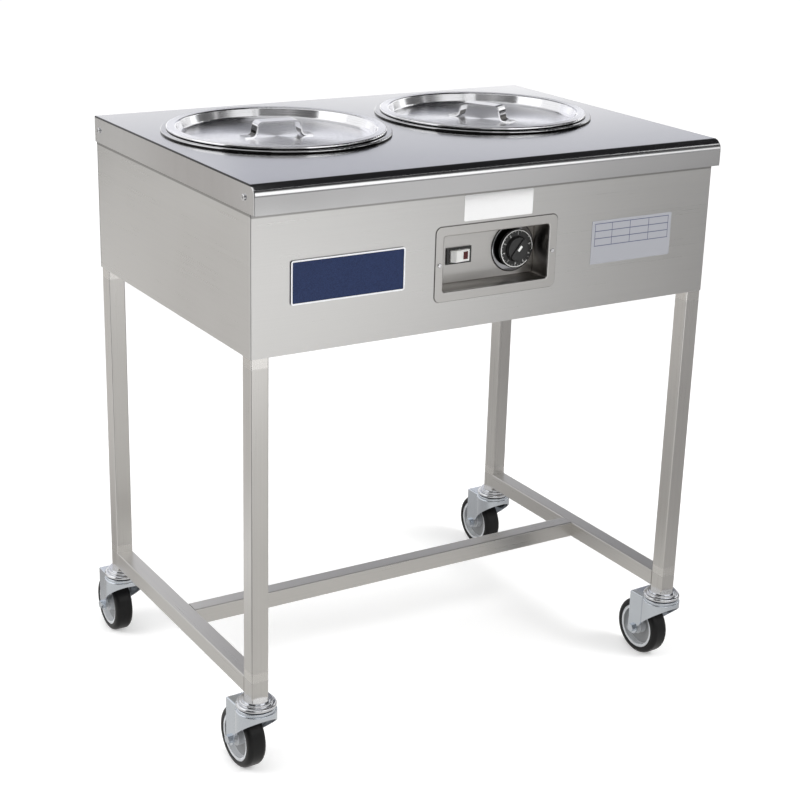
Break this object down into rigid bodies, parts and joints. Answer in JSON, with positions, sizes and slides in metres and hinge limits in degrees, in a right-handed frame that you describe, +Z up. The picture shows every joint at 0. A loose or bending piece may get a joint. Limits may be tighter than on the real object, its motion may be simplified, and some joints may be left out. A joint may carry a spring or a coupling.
{
  "type": "hot icing station",
  "caption": "Stainless water-bath cabinet on caster legs that keeps icing warm in round inset pots with handled lids, with a recessed thermostat dial and a lit rocker switch.",
  "frame": {"origin": "on the floor, in the middle of the ground the station covers with its casters trailing back", "axes": "+X to the right of a person at the controls, +Y away from them, +Z up"},
  "size_m": [0.871, 0.6593, 0.9664],
  "materials": {
    "deck_steel": "polished stainless deck",
    "cabinet_steel": "brushed stainless sheet",
    "control_steel": "brushed stainless pressing",
    "tube_steel": "satin stainless tube",
    "pot_steel": "spun stainless",
    "lid_steel": "turned stainless",
    "handle_chrome": "polished strap",
    "screw_steel": "bright screws",
    "element_sheath": "heat-darkened sheath",
    "zinc_plate": "zinc-plated steel",
    "switch_black": "moulded black",
    "rocker_white": "moulded white",
    "lens_red": "clear red lens",
    "shaft_brass": "turned shaft",
    "dial_chrome": "chrome plate",
    "dial_black": "moulded black dial with white marks",
    "bulb_copper": "copper bulb and capillary",
    "block_white": "moulded block",
    "lead_red": "silicone sleeved leads",
    "gland_black": "moulded gland",
    "plate_blue": "blank blue plate with a silver border",
    "plate_silver": "blank foil plate with ruled boxes",
    "plate_white": "blank white film with a red band",
    "socket_black": "moulded plug",
    "caster_chrome": "bright plated pressing",
    "caster_zinc": "bright zinc pressing",
    "hub_grey": "moulded grey hub",
    "tyre_black": "black polyurethane"
  },
  "bodies": {
    "cabinet": {"top_deck": "deck_steel", "deck_screws": "screw_steel", "cabinet_wrapper": "cabinet_steel", "rear_panel": "cabinet_steel", "rear_panel_screws": "screw_steel", "bottom_pan": "cabinet_steel", "water_tank": "cabinet_steel", "heating_element": "element_sheath", "element_clamps": "zinc_plate", "control_pan": "control_steel", "control_pan_screws": "screw_steel", "switch_body": "switch_black", "thermostat_body": "zinc_plate", "dial_plate": "dial_chrome", "thermostat_bulb": "bulb_copper", "bulb_clips": "zinc_plate", "terminal_block": "block_white", "wiring_leads": "lead_red", "cord_gland": "gland_black", "name_plate": "plate_blue", "rating_plate": "plate_silver", "notice_plate": "plate_white", "stretcher_left": "tube_steel", "stretcher_right": "tube_steel", "stretcher_cross": "tube_steel", "stem_sockets": "socket_black", "leg_front_left": "tube_steel", "caster_stem_front_left": "caster_chrome", "leg_front_right": "tube_steel", "caster_stem_front_right": "caster_chrome", "leg_rear_left": "tube_steel", "caster_stem_rear_left": "caster_chrome", "leg_rear_right": "tube_steel", "caster_stem_rear_right": "caster_chrome"},
    "left_pot": {"pot_left": "pot_steel"},
    "left_lid": {"lid_left": "lid_steel", "lid_handle_left": "handle_chrome"},
    "right_pot": {"pot_right": "pot_steel"},
    "right_lid": {"lid_right": "lid_steel", "lid_handle_right": "handle_chrome"},
    "rocker": {"switch_rocker": "rocker_white", "switch_lens": "lens_red"},
    "dial": {"dial_knob": "dial_black", "thermostat_shaft": "shaft_brass"},
    "swivel_front_left": {"caster_fork_front_left": "caster_zinc", "caster_axle_front_left": "caster_zinc"},
    "wheel_front_left": {"caster_hub_front_left": "hub_grey", "caster_tyre_front_left": "tyre_black"},
    "swivel_front_right": {"caster_fork_front_right": "caster_zinc", "caster_axle_front_right": "caster_zinc"},
    "wheel_front_right": {"caster_hub_front_right": "hub_grey", "caster_tyre_front_right": "tyre_black"},
    "swivel_rear_left": {"caster_fork_rear_left": "caster_zinc", "caster_axle_rear_left": "caster_zinc"},
    "wheel_rear_left": {"caster_hub_rear_left": "hub_grey", "caster_tyre_rear_left": "tyre_black"},
    "swivel_rear_right": {"caster_fork_rear_right": "caster_zinc", "caster_axle_rear_right": "caster_zinc"},
    "wheel_rear_right": {"caster_hub_rear_right": "hub_grey", "caster_tyre_rear_right": "tyre_black"}
  },
  "joints": [
    {"name": "left_pot_lift", "type": "slide", "parent": "cabinet", "child": "left_pot", "axis": [0, 0, 1], "range_m": [0, 0.25]},
    {"name": "left_lid_lift", "type": "slide", "parent": "left_pot", "child": "left_lid", "axis": [0, 0, 1], "range_m": [0, 0.2]},
    {"name": "right_pot_lift", "type": "slide", "parent": "cabinet", "child": "right_pot", "axis": [0, 0, 1], "range_m": [0, 0.25]},
    {"name": "right_lid_lift", "type": "slide", "parent": "right_pot", "child": "right_lid", "axis": [0, 0, 1], "range_m": [0, 0.2]},
    {"name": "rocker_tip", "type": "hinge", "parent": "cabinet", "child": "rocker", "pos_m": [-0.044, -0.2749, 0.7964], "axis": [0, 0, -1], "range_deg": [0, 16]},
    {"name": "dial_turn", "type": "hinge", "parent": "cabinet", "child": "dial", "pos_m": [0.056, -0.2734, 0.7984], "axis": [0, 1, 0], "range_deg": [0, 285]},
    {"name": "swivel_front_left_turn", "type": "hinge", "parent": "cabinet", "child": "swivel_front_left", "pos_m": [-0.4025, -0.2979, 0.1273], "axis": [0, 0, 1], "continuous": true},
    {"name": "wheel_front_left_roll", "type": "hinge", "parent": "swivel_front_left", "child": "wheel_front_left", "pos_m": [-0.40435, -0.25544, 0.0508], "axis": [0.999, 0.0436, 0], "continuous": true},
    {"name": "swivel_front_right_turn", "type": "hinge", "parent": "cabinet", "child": "swivel_front_right", "pos_m": [0.4025, -0.2979, 0.1273], "axis": [0, 0, 1], "continuous": true},
    {"name": "wheel_front_right_roll", "type": "hinge", "parent": "swivel_front_right", "child": "wheel_front_right", "pos_m": [0.40065, -0.25544, 0.0508], "axis": [0.999, 0.0436, 0], "continuous": true},
    {"name": "swivel_rear_left_turn", "type": "hinge", "parent": "cabinet", "child": "swivel_rear_left", "pos_m": [-0.4025, 0.2349, 0.1273], "axis": [0, 0, 1], "continuous": true},
    {"name": "wheel_rear_left_roll", "type": "hinge", "parent": "swivel_rear_left", "child": "wheel_rear_left", "pos_m": [-0.40205, 0.2774, 0.0508], "axis": [0.9999, -0.0105, 0], "continuous": true},
    {"name": "swivel_rear_right_turn", "type": "hinge", "parent": "cabinet", "child": "swivel_rear_right", "pos_m": [0.4025, 0.2349, 0.1273], "axis": [0, 0, 1], "continuous": true},
    {"name": "wheel_rear_right_roll", "type": "hinge", "parent": "swivel_rear_right", "child": "wheel_rear_right", "pos_m": [0.40139, 0.27738, 0.0508], "axis": [0.9997, 0.0262, 0], "continuous": true}
  ]
}
